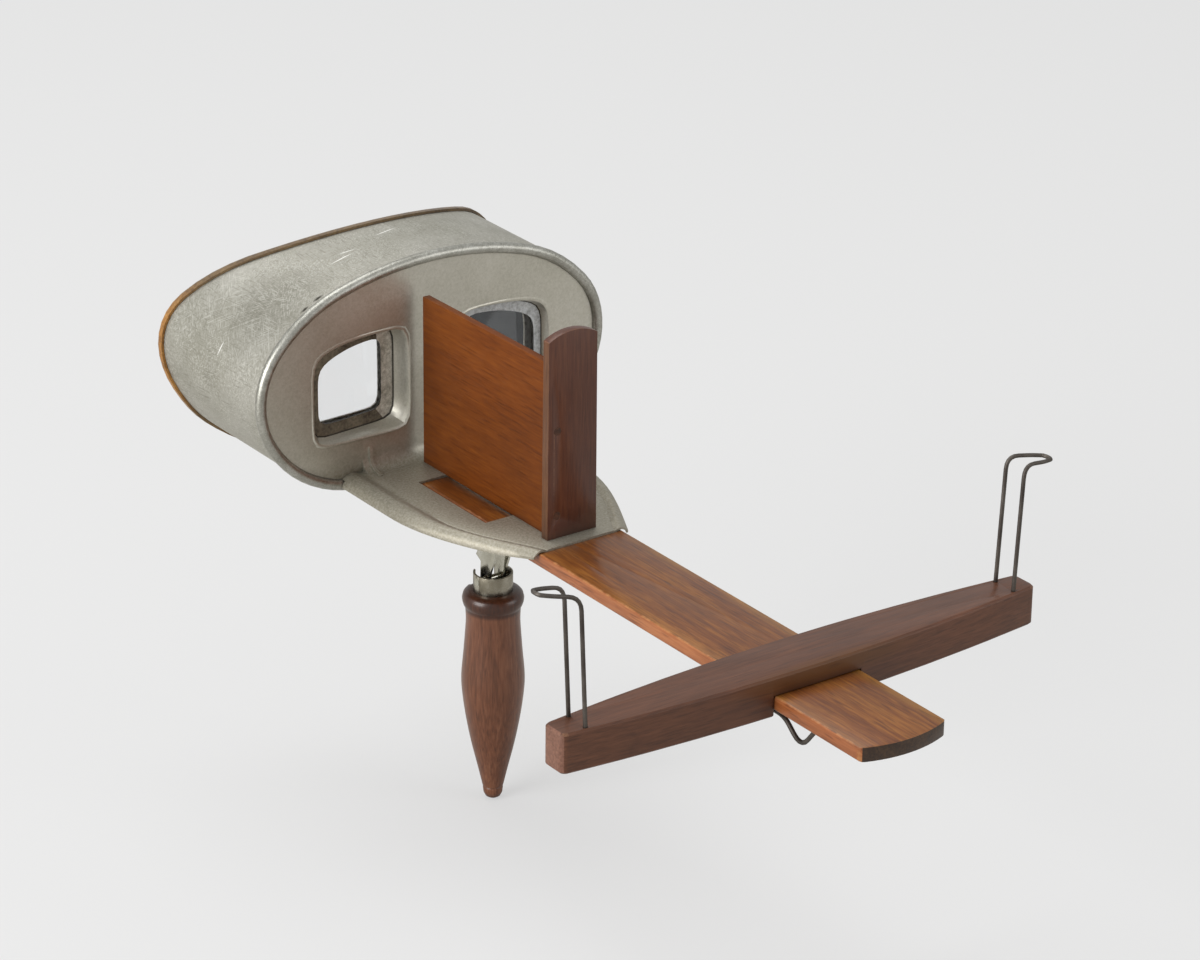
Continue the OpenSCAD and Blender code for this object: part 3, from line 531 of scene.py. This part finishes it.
# The card rest's patch is a painted shade with a painted reflection of the bed.
rest_front_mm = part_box("card_rest")[0][1] / MM
rest_wood = varnished_wood(
    "stained_walnut_rest", ("#4C2916", "#59331E", "#653C26"), "#8A6448", "X",
    end=("#66432F", "#785040", "#875E4A"), shift=0.41, band_mm=7, pores=0.25, gloss=0.44,
    wear=0.7, varnish=0.25, patch=((4, rest_front_mm, 9), (42, 5, 5.5), "#5E370C"))
septum_wood = varnished_wood(
    "stained_cherry_septum", ("#5E2D08", "#6C360A", "#7A4110"), "#B46C3C", "Y", shift=0.77,
    band_mm=11, band_ratio=2.5, line_mm=0.9, line_ratio=9, contrast=0.14, pores=0.25,
    gloss=0.5, wear=0.95, varnish=0.0, shine=0.2)
front_wood = varnished_wood(
    "stained_walnut_front", ("#431F10", "#542A17", "#62361F"), "#96684A", "Z",
    end=("#4E2E1A", "#5E3A22", "#6E472C"), shift=1.1, contrast=0.13, pores=0.2, gloss=0.36,
    wear=0.85, patch=((0, 0, 8), (14, 6, 9), "#431D0B"))
bead_low_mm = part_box("handle_grip")[1][2] / MM - BEAD_FOOT_MM
handle_wood = varnished_wood(
    "turned_mahogany_handle", ("#4E2C18", "#693D26", "#7F5036"), "#A87A60", "Z", shift=1.7,
    band_mm=4, band_ratio=4, line_ratio=10, contrast=0.15, pores=0.25, gloss=0.3,
    varnish=0.45, dark_top=(bead_low_mm - BEAD_FADE_MM, bead_low_mm + BEAD_FADE_MM))
print("woods: bed, rest, septum, front board, handle")

# %% [markdown]
# The bed, the card rest, the septum and the front board were sawn and planed, so only their edges
# are eased, by about half a millimetre. The handle came off the lathe with no edge to ease. The
# grain runs along the bed, the card rest and the septum, and up the front board and the handle.
# The front board's top and bottom are hidden or small, so its end marks go on its narrow sides.

# %% Wooden pieces
bed = finished("bed", "bed_board", 0.5)
bed.data.materials.append(bed_wood)
mark_cut_and_lit_faces(bed, "Y", "X")
rest = finished("card_rest", "card_rest_block", 0.5, sharp=28)
rest.data.materials.append(rest_wood)
mark_cut_and_lit_faces(rest, "X", "Y")
septum = finished("septum", "septum_board", 0.45)
septum.data.materials.append(septum_wood)
front = finished("front_board", "front_board_plate", 0.5)
front.data.materials.append(front_wood)
mark_cut_and_lit_faces(front, "X", "Z")
handle = finished("handle_grip", "turned_handle", sharp=30, flat=False)
handle.data.materials.append(handle_wood)
print("wooden pieces: 5")

# %% [markdown]
# The hood and lens board are early sheet aluminium: rolled, pressed, never painted outside, and
# dulled by air and hands to a soft warm grey with hair scratches in all directions. A hair
# scratch is noise stretched 45 times along one direction, cut off so that only its crests show.
# It is drawn 0.2 mm wide, wider than a real one, which would not show. A scratch only looks long
# where its direction lies in the sheet, so the four directions are the ones that do so on the
# hood's shoulder, the most worn place.

# %% Hair scratches
HAIR_MM, HAIR_RATIO = 0.2, 45
HAIR_FIELD_MM = 6
SHOULDER_TURNS = ((0, -27, 60), (0, 27, 120), (0, -41, 30), (0, 4, 86))


def scratches(node, cut, shift):
    """Hair scratches in each of the shoulder's directions: 1 where a scratch is."""
    fields = []
    for index, turn in enumerate(SHOULDER_TURNS):
        lines = pattern(node, HAIR_MM, (HAIR_RATIO, 1, 1), turn, detail=0,
                        shift=shift + 0.6 * index)
        where = pattern(node, HAIR_FIELD_MM, turn=turn, detail=2, shift=shift + 0.6 * index + 4)
        lines = node("ValToRGB", [lines], stops=[(cut, 0.0), (cut + 0.05, 1.0)])
        where = node("ValToRGB", [where], stops=[(0.42, 0.0), (0.54, 1.0)])
        fields.append(node("Math", (lines, where), operation="MULTIPLY"))
    return fields


print("scratches:", HAIR_MM * HAIR_RATIO, "mm long in", len(SHOULDER_TURNS), "directions")

# %% [markdown]
# The eye also sees a very fine grain, weak clouds and a few nicks. Most scratches lie on one
# worn place on the hood's shoulder, where it was set down, so a soft egg round that place lets
# more of them through. The shelf and the foot of the board get painted shade: they are darker,
# and also rougher and less metallic, than the board above. Where the metal turns inwards, ambient
# occlusion finds the hollows, and painted shade darkens them.

# %% Aged aluminium
FEW_HAIRS, MANY_HAIRS = 0.62, 0.57
CLOUD_CONTRAST = 0.14
BRIGHT_HAIR, DEEP_HAIR = "#DCDBD3", "#6E6C5F"
RUBBED, BARE, DENTED = "#838176", "#ECEBE6", "#37342C"


def aged_aluminium(name, dark, middle, light, grain_mm=0.5, cloud_mm=18.0, gloss=0.46, marks=1.0,
                   shift=0.0, metallic=0.8, relief=0.2, worn_place=None, gouges=(), nicks=(),
                   dull_below=None):
    """Dull sheet aluminium with a fine grain, clouds, hair scratches, painted shade in hollows and
    nicks. Dull below holds two heights: under the first the metal is darkened with painted shade
    and is rougher and less metallic, over the second it is not."""
    material, node = new_material(name)
    clouds = pattern(node, cloud_mm, detail=4, rough=0.55, shift=shift, warp=0.5)
    grain = pattern(node, grain_mm, rough=0.65, shift=shift + 1.0)
    both = node("Mix", (0.5, clouds, grain), data_type="RGBA")
    colour = node("ValToRGB", [both], stops=[
        (0.5 - CLOUD_CONTRAST, dark), (0.5, middle), (0.5 + CLOUD_CONTRAST, light)])
    hairs = scratches(node, FEW_HAIRS, shift)
    bright = node("Math", hairs[:2], operation="MAXIMUM")
    deep = node("Math", hairs[2:], operation="MAXIMUM")
    if worn_place:
        here = spot(node, *worn_place)
        first, second, third, fourth = [
            node("Math", (here, field), operation="MULTIPLY")
            for field in scratches(node, MANY_HAIRS, shift + 7)]
        for field in (first, fourth):
            bright = node("Math", (bright, field), operation="MAXIMUM")
        for field in (second, third):
            deep = node("Math", (deep, field), operation="MAXIMUM")
        uneven = node("ValToRGB", [grain], stops=[(0.4, 0.78), (0.6, 0.5)])
        shade = node("Math", (here, uneven), operation="MULTIPLY")
        colour = node("Mix", (shade, colour, RUBBED), data_type="RGBA")
    for hair, share, tone in ((bright, 0.62, BRIGHT_HAIR), (deep, 0.55, DEEP_HAIR)):
        hair = node("Math", (hair, share * marks), operation="MULTIPLY")
        colour = node("Mix", (hair, colour, tone), data_type="RGBA")
    for places, tone in ((gouges, BARE), (nicks, DENTED)):
        for place in places:
            colour = node("Mix", (spot(node, *place), colour, tone), data_type="RGBA")

    rough = node("Math", (grain, 0.2), operation="MULTIPLY")
    rough = node("Math", (gloss, rough), operation="ADD", use_clamp=True)
    if dull_below:
        # Painted shade: below the first height the colour is multiplied by a darker tone.
        bright_share = rise(node, "Z", *dull_below)
        low_shade_tone = node("ValToRGB", [grain], stops=[(0.36, "#BCB8B0"), (0.64, "#D2CFC9")])
        shaded_low = node("Mix", (1.0, colour, low_shade_tone), data_type="RGBA", blend_type="MULTIPLY")
        colour = node("Mix", (bright_share, shaded_low, colour), data_type="RGBA")
        dull_share = node("Math", (1.0, bright_share), operation="SUBTRACT")
        rougher = node("Math", (dull_share, 0.13), operation="MULTIPLY")
        rough = node("Math", (rough, rougher), operation="ADD", use_clamp=True)
        less_metal = node("Math", (dull_share, 0.15), operation="MULTIPLY")
        metallic = node("Math", (metallic, less_metal), operation="SUBTRACT")
    # Painted shade where the metal turns inwards.
    colour = shaded_in_hollows(node, colour, 3.0, 0.5)
    scratched = node("Math", (bright, deep), operation="MAXIMUM")
    height = node("Math", (grain, scratched), operation="SUBTRACT")
    bump = node("Bump", {"Strength": relief, "Distance": 0.05 * MM, "Height": height})
    node("OutputMaterial", {"Surface": node("BsdfPrincipled", {
        "Base Color": colour, "Metallic": metallic, "Roughness": rough, "Normal": bump})})
    return material


# Here grime stands for the painted shade in hollows.
print("aluminium: clouds, grain, scratches, nicks and grime")

# %% [markdown]
# One recipe gives five finishes: the scratched hood, the bead that hands have burnished, the
# satin board, and the two strips round the glass, of which one is mottled with tarnish and the
# other frosted nearly white. The hood's gouges and nicks are placed one by one.

# %% Five metal finishes
hood_metal = aged_aluminium(
    "aged_sheet_aluminium_hood", "#9B998D", "#ABA99F", "#B8B6AE", metallic=0.7,
    marks=0.55, relief=0.12,
    worn_place=((-53, 97, 66), (24, 22, 24), (0, 0, 0), 0.7),
    gouges=(((-25, 98, 77.4), (6.4, 0.45, 4), (0, -11, 4)),
            ((-21, 101, 78.2), (4.2, 0.4, 4), (0, -8, -9)),
            ((-2, 106, 79.4), (6, 0.4, 4), (0, 0, 12)),
            ((-68, 108, 50), (4, 0.4, 3.5), (12, 0, 0))),
    nicks=(((-44, 83.4, 72), (2.8, 1.0, 4), (0, -25, 0)),
           ((-49.5, 83.2, 69.2), (2.1, 0.9, 4), (0, -30, 0))))
bead_metal = aged_aluminium(
    "burnished_aluminium_bead", "#9D9C93", "#AFAEA6", "#C2C2BB", gloss=0.32, marks=0.5,
    shift=1.6, cloud_mm=6, grain_mm=0.6, metallic=0.95, relief=0.05)
board_metal = aged_aluminium(
    "satin_sheet_aluminium_board", "#B9B6A9", "#C6C3B7", "#D1CEC4", gloss=0.31, marks=0.15,
    shift=2.5, cloud_mm=24, grain_mm=0.4, relief=0.06, dull_below=(6, 13))
frame_metal = aged_aluminium(
    "tarnished_aluminium_strip", "#989489", "#CAC6BB", "#E8E5DD", gloss=0.4, marks=0.5,
    shift=5.0, cloud_mm=1.6, grain_mm=0.6, metallic=0.35)
frosted_metal = aged_aluminium(
    "frosted_aluminium_strip", "#A0A2A3", "#C6C9CB", "#E2E5E7", gloss=0.4, marks=0.3,
    shift=6.1, cloud_mm=1.8, metallic=0.5)
print("metals: hood, bead, board, tarnished strip, frosted strip")

# %% [markdown]
# Inside, the hood is dark so that no stray light falls into the eyes. Seen from the front
# through a lens it looks blue grey, as a thin worn coat of black on metal does. It needs its own
# material slot on the faces that look inwards, and the burnished bead needs one too. A near black
# is painted as shade in the corner where each recess meets its ledge, and on the ledge's cut edge
# beside the glass: two thin dark lines, with the ledge between them. That ledge isn't the same all
# round. By the far window it is frosted nearly white. By the near one it is mottled silver on the
# nose side, and above, below and by the temple it is painted brown shade.

# %% Blackened places and painted shade
BLACK_PATCH_MM = 5
BLACK_GRAIN_MM = 0.5


def black_lacquer_and_shade(name, deep, pale):
    """A thin matt black on the metal, worn in patches. With the corner's and the ledge's colours it
    is painted shade instead.
    """
    material, node = new_material(name)
    patches = pattern(node, BLACK_PATCH_MM, detail=4, rough=0.6, shift=3.3)
    fine = pattern(node, BLACK_GRAIN_MM, shift=4.1)
    both = node("Mix", (0.4, patches, fine), data_type="RGBA")
    colour = node("ValToRGB", [both], stops=[(0.38, deep), (0.62, pale)])
    bump = node("Bump", {"Strength": 0.3, "Distance": 0.05 * MM, "Height": fine})
    node("OutputMaterial", {"Surface": node("BsdfPrincipled", {
        "Base Color": colour, "Roughness": 0.5, "IOR": 1.5, "Normal": bump})})
    return material


inside_black = black_lacquer_and_shade("worn_black_lacquer_inside", "#171B20", "#2A2F35")
edge_shade_black = black_lacquer_and_shade("painted_shade_black_corner", "#1F1C18", "#383228")
ledge_shade_brown = black_lacquer_and_shade("painted_shade_brown_ledge", "#464036", "#857D6C")
print("blacks: inside, corners, ledge")

# %% [markdown]
# The hood and the board are both bent from one sheet, so they stay one piece each, and their
# slots follow the way a face looks and where it lies: the hood's bead is what stands within
# 4.2 mm of its front, and its inside is what looks at its axis. On the board, everything from
# 2 mm behind the front edge of the lens pans belongs to a recess: what looks forward is the
# ledge, and what looks sideways is its cut edge or the corner round it. The way a face looks is
# its normal's share along Y: -1 is straight forward and 0 is sideways.

# %% Hood, lens board and lens pans
BEAD_MM = 4.2
RECESS_MM = 2.0
NOSE_SIDE_MM = 19
FORWARD = -0.93
SLOPED = -0.4
SIDEWAYS = 0.05
INSIDE, BEAD = 1, 2
MOTTLED, BLACK, FROSTED, SHADED_LEDGE = 1, 2, 3, 4

hood = finished("hood_shell", "bent_hood", sharp=40, flat=False)
for material in (hood_metal, inside_black, bead_metal):
    hood.data.materials.append(material)
hood_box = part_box("hood_shell")
bead_end = hood_box[0][1] + BEAD_MM * MM
axis_z = (hood_box[0][2] + hood_box[1][2]) / 2
for face in hood.data.polygons:
    outward = Vector((face.center.x, 0, face.center.z - axis_z))
    if face.center.y < bead_end:
        face.material_index = BEAD
    elif face.normal.dot(outward) < 0:
        face.material_index = INSIDE

board = finished("lens_board", "stamped_lens_board", sharp=35, flat=False)
for material in (board_metal, frame_metal, edge_shade_black, frosted_metal, ledge_shade_brown):
    board.data.materials.append(material)
recess_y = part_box("left_lens_frame")[0][1] + RECESS_MM * MM
ledge_faces = 0
for face in board.data.polygons:
    if face.center.y < recess_y:
        continue
    # A forward face is ledge. On the near window, away from the nose side, it is painted brown
    # shade.
    if face.normal.y < FORWARD:
        near_window = face.center.x < 0
        nose_side = abs(face.center.x) < NOSE_SIDE_MM * MM
        face.material_index = (MOTTLED if nose_side else SHADED_LEDGE) if near_window else FROSTED
        ledge_faces += 1
    # The corner and the cut edge beside the glass are painted black shade.
    elif face.normal.y < SLOPED or abs(face.normal.y) < SIDEWAYS:
        face.material_index = BLACK
for side in ("left", "right"):
    pan = finished(side + "_lens_frame", side + "_lens_pan", sharp=30)
    pan.data.materials.append(frame_metal)
print("ledges:", ledge_faces, "faces")

# %% [markdown]
# The rim that meets the face is bound with a narrow golden-brown strip. Its look between metal
# and skin is that of plush worn down to its backing, so it gets a short soft sheen, a fine
# mottling and darker folds. It is golden only by the temples. Over the brow and under the cheeks
# it is dark and olive with skin grease. The pile is drawn 0.5 mm wide, coarser than it is, so
# that it shows at all.

# %% Rim binding
CHEEK_MM = 38
GOLDEN_MM = (12, 25)
PILE_MM = 0.5
FOLD_MM = 7


def worn_plush(name):
    """Short golden pile, flattened by faces."""
    material, node = new_material(name)
    pile = pattern(node, PILE_MM, detail=2, rough=0.6, shift=0.4)
    patches = pattern(node, FOLD_MM, rough=0.6, shift=1.2)
    both = node("Mix", (0.45, patches, pile), data_type="RGBA")
    golden = node("ValToRGB", [both], stops=[
        (0.36, "#6F4A1C"), (0.5, "#95662A"), (0.64, "#AA7C3E")])
    greasy = node("ValToRGB", [both], stops=[(0.36, "#43382A"), (0.64, "#6B5C43")])
    away = rise(node, "Z", *GOLDEN_MM, CHEEK_MM)
    away = node("Math", (away, 0.85), operation="MULTIPLY")
    colour = node("Mix", (away, golden, greasy), data_type="RGBA")
    bump = node("Bump", {"Strength": 0.5, "Distance": 0.15 * MM, "Height": pile})
    node("OutputMaterial", {"Surface": node("BsdfPrincipled", {
        "Base Color": colour, "Roughness": 0.75, "Normal": bump,
        "Sheen Weight": 0.2, "Sheen Roughness": 0.4})})
    return material


binding = finished("hood_binding", "rim_binding", sharp=50, flat=False)
binding.data.materials.append(worn_plush("worn_golden_plush_binding"))
print("binding: 1 strip")

# %% [markdown]
# The lenses are clear crown glass. A true glass shader bends what is behind them, which is just
# what shows the pale paper through one window and the dark hood through the other.

# %% Lenses
DUST_MM = 4


def crown_glass(name):
    """Polished clear glass with a faint film of dust."""
    material, node = new_material(name)
    dust = pattern(node, DUST_MM, detail=4, rough=0.6, shift=0.9)
    rough = node("Math", (dust, 0.06), operation="MULTIPLY")
    node("OutputMaterial", {"Surface": node("BsdfPrincipled", {
        "Base Color": "#FAFCFD", "Roughness": rough, "IOR": 1.52,
        "Transmission Weight": 1.0})})
    return material


glass = crown_glass("crown_glass_lens")
for side in ("left", "right"):
    lens = finished(side + "_lens", side + "_ground_lens", sharp=30, flat=False)
    lens.data.materials.append(glass)
print("lenses: 2")

# %% [markdown]
# The wires and the spring are drawn steel, browned with age. The front board's nails were stopped
# and stained over with the wood. The hinge parts are nickel plate on brass: yellowish where it has
# worn and grey where it is dull. Their rounded edges are painted light, partly wear and partly
# painted highlight, and the inside of the ferrule is darkened with painted shade.

# %% Steel and nickel
FINE_MM = 0.4


def plated_metal(name, dark, middle, light, gloss, size_mm, metallic=1.0, shift=0.0):
    """Bare or plated metal whose tarnish comes in soft patches. Its rounded edges are painted in
    the light tone, partly wear and partly painted highlight, and its hollows get painted shade.
    """
    material, node = new_material(name)
    patches = pattern(node, size_mm, detail=4, rough=0.65, shift=shift)
    colour = node("ValToRGB", [patches], stops=[(0.34, dark), (0.5, middle), (0.66, light)])
    fine = pattern(node, FINE_MM, detail=2, rough=0.6, shift=shift + 1)
    edges = node("Attribute", out="Fac", attribute_name="wear")
    # Rounded edges take the light tone: partly wear, partly painted highlight.
    colour = node("Mix", (edges, colour, light), data_type="RGBA")
    # Painted shade in hollows, deepest inside the ferrule.
    colour = shaded_in_hollows(node, colour, 5.0, 0.25)
    rough = node("Math", (fine, 0.2), operation="MULTIPLY")
    rough = node("Math", (gloss, rough), operation="ADD", use_clamp=True)
    bump = node("Bump", {"Strength": 0.2, "Distance": 0.05 * MM, "Height": fine})
    node("OutputMaterial", {"Surface": node("BsdfPrincipled", {
        "Base Color": colour, "Metallic": metallic, "Roughness": rough, "Normal": bump})})
    return material


browned_steel = plated_metal(
    "browned_steel_wire", "#47413D", "#56504B", "#67615B", 0.42, 6, metallic=0.75)
bright_steel = plated_metal(
    "dull_steel_nails", "#6E6A62", "#A09C92", "#C4C0B6", 0.35, 1.5, shift=1.3)
stained_steel = plated_metal(
    "stained_over_nails", "#3A2010", "#4A2815", "#58331C", 0.5, 0.8, metallic=0.0, shift=1.9)
worn_nickel = plated_metal(
    "worn_nickel_bracket", "#B0AD9E", "#CDCBBD", "#E2E1D8", 0.14, 6, shift=2.1)
dull_nickel = plated_metal(
    "dull_nickel_ferrule", "#7D7768", "#938D7E", "#BEBAAD", 0.2, 7, shift=2.9)
print("metals: three steels, two nickels")

# %% [markdown]
# The wires, the spring and the nails are round, so they have no edge to ease. Only the bracket's
# sheared plate and the drawn ferrule are rounded, by 0.12 and 0.15 mm.

# %% Metal fittings
for name in ("left_card_wire", "right_card_wire", "slide_spring"):
    wire = finished(name, name + "_drawn", sharp=60, flat=False)
    wire.data.materials.append(browned_steel)
for name in ("septum_nails", "handle_screw"):
    nails = finished(name, name + "_finished", sharp=30, flat=False)
    nails.data.materials.append(bright_steel)
stopped = finished("front_board_nails", "stopped_nails", sharp=30, flat=False)
stopped.data.materials.append(stained_steel)
for name in ("handle_bracket", "bracket_screws", "hinge_pin"):
    fitting = finished(name, name + "_plated", 0.12 if name == "handle_bracket" else 0.0)
    fitting.data.materials.append(worn_nickel)
ferrule = finished("ferrule", "drawn_ferrule", 0.15)
ferrule.data.materials.append(dull_nickel)
print("metal fittings: 10")
